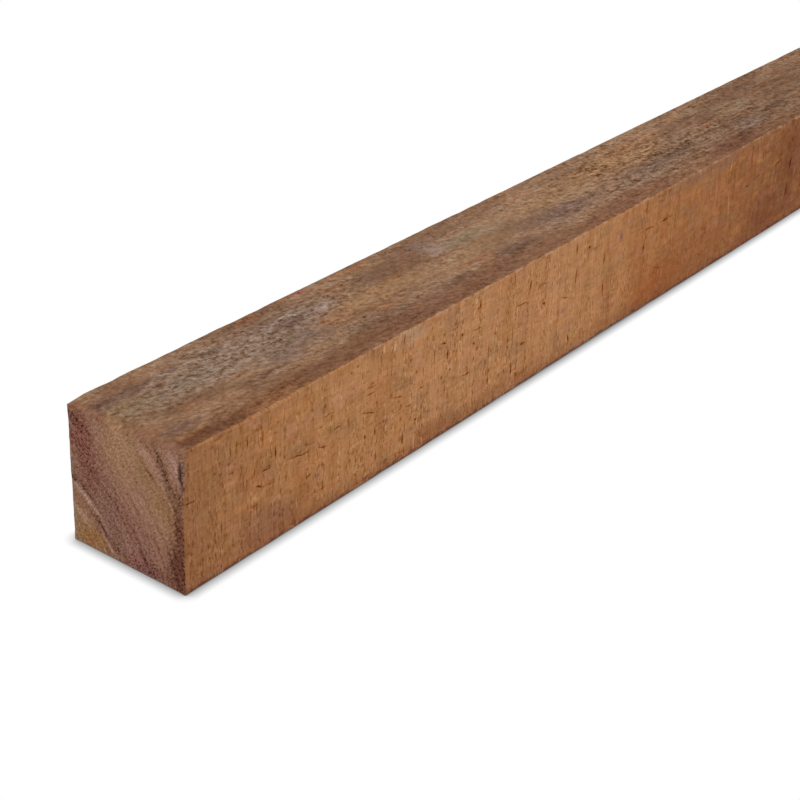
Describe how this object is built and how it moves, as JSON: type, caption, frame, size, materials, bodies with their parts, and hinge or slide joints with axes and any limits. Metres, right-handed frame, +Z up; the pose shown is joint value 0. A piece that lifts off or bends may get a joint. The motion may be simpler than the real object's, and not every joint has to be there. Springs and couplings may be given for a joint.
{
  "type": "hardwood beam",
  "caption": "Straight length of rough-sawn hardwood with a square section, worn arrises and a drying split in its near end.",
  "frame": {"origin": "on the floor under the middle of the beam: the centre of the bottom of its box", "axes": "+X along the length, away from the near end that shows its end grain; -Y out of the clean sawn side; +Z up"},
  "size_m": [2.5, 0.07, 0.07],
  "materials": {
    "hardwood": "rough sawn, weathered on top"
  },
  "bodies": {
    "root": {"beam": "hardwood"}
  },
  "joints": []
}
